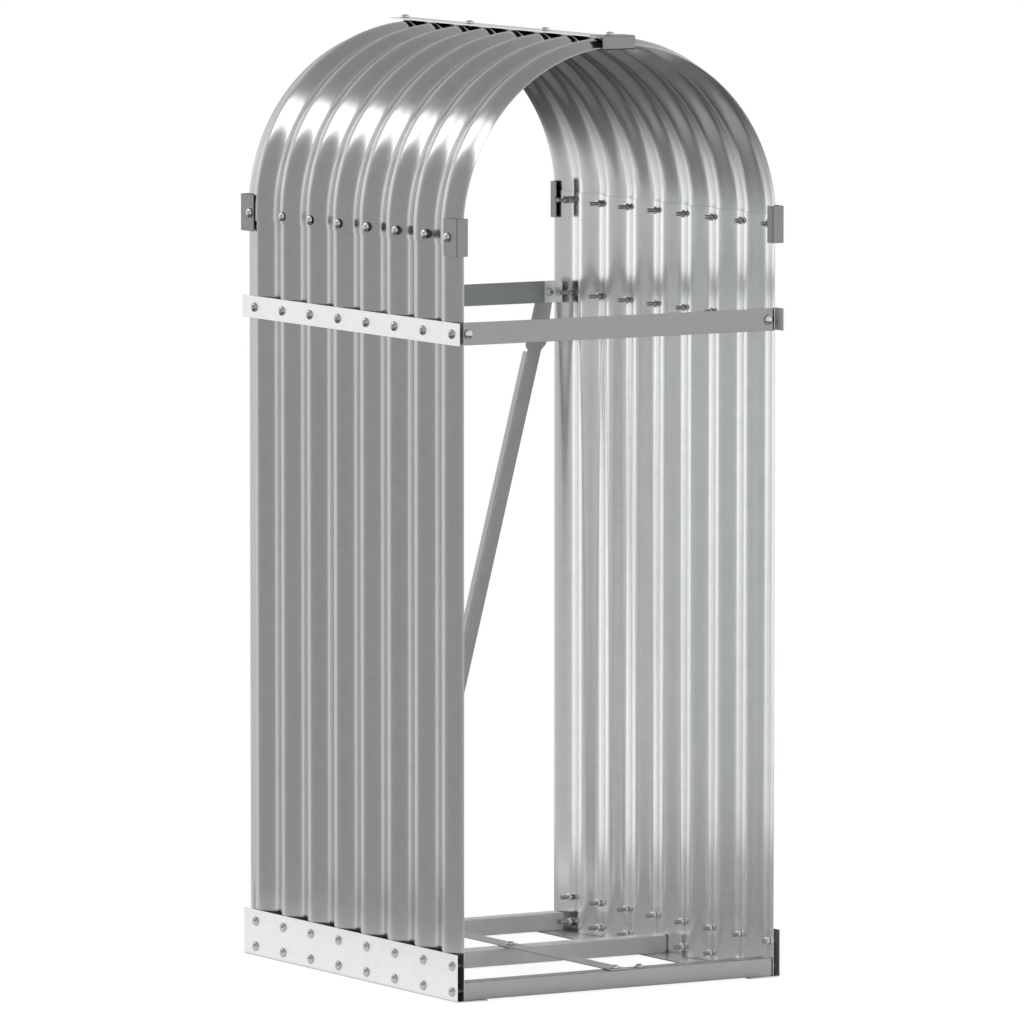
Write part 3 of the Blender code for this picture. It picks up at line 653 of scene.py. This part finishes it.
bpy.ops.object.select_all(action="DESELECT")
bpy.ops.mesh.primitive_circle_add(vertices=96, radius=floor_radius, fill_type="NGON",
                                  location=(0, 0, -floor_drop))
floor = bpy.context.object
floor.name = "studio_floor"
card = bpy.data.materials.new("studio_floor")
card.use_nodes = True
tree = card.node_tree
matt = tree.nodes["Principled BSDF"]
matt.inputs["Base Color"].default_value = floor_paint
matt.inputs["Roughness"].default_value = 0.9
matt.inputs["Specular IOR Level"].default_value = 0.0
seen = shader_part(tree, "LightPath", {})
spot = shader_part(tree, "TexCoord", {})
apart = shader_part(tree, "SeparateXYZ", {"Vector": spot.outputs["Object"]})
outside = level_ramp(tree, seen.outputs["Ray Length"], reach_levels)
inside = spread(tree, seen.outputs["Ray Length"], inside_painted_shade_level, 0.0, fade_start, fade_end)
beside = level_ramp(tree, reckon(tree, "ABSOLUTE", apart.outputs["X"]), aside_levels)
before = spread(tree, apart.outputs["Y"], 0.0, 1.0, rack_front, clear_front)
clear = reckon(tree, "MAXIMUM", beside, before)
near = shader_part(tree, "Mix", {"Factor": clear, "A": inside, "B": outside}, data_type="RGBA")
painted_reflection = reckon(tree, "MULTIPLY", seen.outputs["Is Glossy Ray"], near.outputs["Result"])
shown = reckon(tree, "MAXIMUM", seen.outputs["Is Camera Ray"], painted_reflection)
glow = shader_part(tree, "Emission", {"Color": floor_glow, "Strength": shown})
blend = shader_part(tree, "AddShader", {0: matt.outputs["BSDF"], 1: glow.outputs["Emission"]})
tree.links.new(blend.outputs["Shader"], tree.nodes["Material Output"].inputs["Surface"])
floor.data.materials.append(card)

# Room: what the steel mirrors, rings of soft light around the rack, brighter behind it than to its left,
# above it and below it. To the camera the background is white.
# Each ring: its height in degrees above the horizon, and levels at degrees to the left of the back.
brightest = 1.5
rings = (
    (-50, ((0, 0.04),)),
    (-33, ((-60, 0.04), (0, 0.055), (20, 0.10), (70, 0.17), (180, 0.1))),
    (-20, ((-60, 0.08), (-10, 0.12), (10, 0.34), (30, 0.75), (75, 0.45), (145, 0.7), (-149, 0.8),
           (-100, 0.6))),
    (-4, ((-60, 0.9), (-30, 0.8), (-12, 0.85), (0, 0.85), (10, 0.95), (20, 1.10), (32, 1.10), (38, 0.75),
          (45, 0.5), (75, 0.5), (110, 0.5), (145, 0.95), (-149, 1.05), (-100, 1.0))),
    (8, ((-60, 0.9), (-30, 0.65), (-12, 0.85), (0, 1.00), (10, 1.40), (20, 1.40), (32, 1.05), (38, 0.75),
         (45, 0.5), (75, 0.5), (110, 0.5), (145, 0.9), (-149, 1.0), (-100, 0.9))),
    (22, ((-50, 0.6), (-15, 0.52), (0, 0.8), (12, 0.85), (25, 0.65), (50, 0.5), (80, 0.45), (130, 0.6),
          (-140, 0.95), (-100, 0.95))),
    (40, ((-30, 0.45), (60, 0.45), (140, 0.6), (-140, 0.95), (-100, 0.95))),
    (58, ((-20, 0.42), (60, 0.42), (140, 0.6), (-100, 0.9))),
    (80, ((0, 0.42),)),
)
world = bpy.context.scene.world or bpy.data.worlds.new("studio")
bpy.context.scene.world = world
world.use_nodes = True
tree = world.node_tree
tree.nodes.clear()
where = shader_part(tree, "TexCoord", {})
split = shader_part(tree, "SeparateXYZ", {"Vector": where.outputs["Generated"]})
bearing = reckon(tree, "ARCTAN2", reckon(tree, "MULTIPLY", split.outputs["X"], -1.0), split.outputs["Y"])
about = spread(tree, bearing, 0.0, 1.0, -math.pi, math.pi)
level = None
for height, stops in rings:
    stops = sorted(stops)
    wrapped = [(stops[-1][0] - 360, stops[-1][1])] + stops + [(stops[0][0] + 360, stops[0][1])]
    ring = level_ramp(tree, about, [(max(min(degrees / 360 + 0.5, 1), 0), value / brightest)
                                    for degrees, value in wrapped])
    if level is None:
        level = ring
    else:
        climb = spread(tree, split.outputs["Z"], 0.0, 1.0, math.sin(math.radians(under)),
                       math.sin(math.radians(height)))
        step = shader_part(tree, "Mix", {"Factor": climb, "A": level, "B": ring}, data_type="RGBA")
        level = step.outputs["Result"]
    under = height
room = shader_part(tree, "Background", {"Color": level, "Strength": brightest})
white = shader_part(tree, "Background", {"Color": (1, 1, 1, 1)})
seen = shader_part(tree, "LightPath", {})
straight = reckon(tree, "MAXIMUM", seen.outputs["Is Camera Ray"], seen.outputs["Is Transmission Ray"])
choice = shader_part(tree, "MixShader", {"Fac": straight, 1: room.outputs["Background"],
                                         2: white.outputs["Background"]})
shader_part(tree, "OutputWorld", {"Surface": choice.outputs["Shader"]})

# Softbox: one wide soft lamp far off at the back left, rolled to lie across the roof's ribs. It makes the
# white highlights on the roof sheets. Its level is how bright its face is, where 1 is white.
box_left, box_up, box_roll = math.radians(46), math.radians(35), math.radians(29)
box_aim = Vector((0, 0, 0.9))
box_away = 5
box_width, box_height = 3.3, 1.3
box_level = 2.6
lamp = bpy.data.lights.new("back_left_softbox", "AREA")
lamp.shape = "RECTANGLE"
lamp.size, lamp.size_y = box_width, box_height
lamp.energy = box_level * math.pi * box_width * box_height
holder = bpy.data.objects.new("back_left_softbox", lamp)
bpy.context.scene.collection.objects.link(holder)
toward = Vector((-math.sin(box_left) * math.cos(box_up), math.cos(box_left) * math.cos(box_up),
                 math.sin(box_up)))
holder.location = box_aim + toward * box_away
holder.rotation_mode = "QUATERNION"
holder.rotation_quaternion = toward.to_track_quat("Z", "Y") @ Quaternion((0, 0, 1), box_roll)
holder.visible_camera = False

# Camera: far off with a long lens, at the photograph's height and angle, so that the uprights stay
# almost parallel as they are there.
camera_place = (-6.2217, -10.4868, 1.6624)
camera_turn, camera_tip = math.radians(30.6954), math.radians(5.522)
lens = bpy.data.cameras.new("camera")
lens.sensor_width = 36
lens.lens = 406.473
lens.clip_end = 100
camera = bpy.data.objects.new("camera", lens)
bpy.context.scene.collection.objects.link(camera)
camera.location = camera_place
camera.rotation_mode = "XYZ"
camera.rotation_euler = (math.pi / 2 - camera_tip, 0, -camera_turn)
bpy.context.scene.camera = camera

bpy.context.scene.view_settings.view_transform = "Standard"
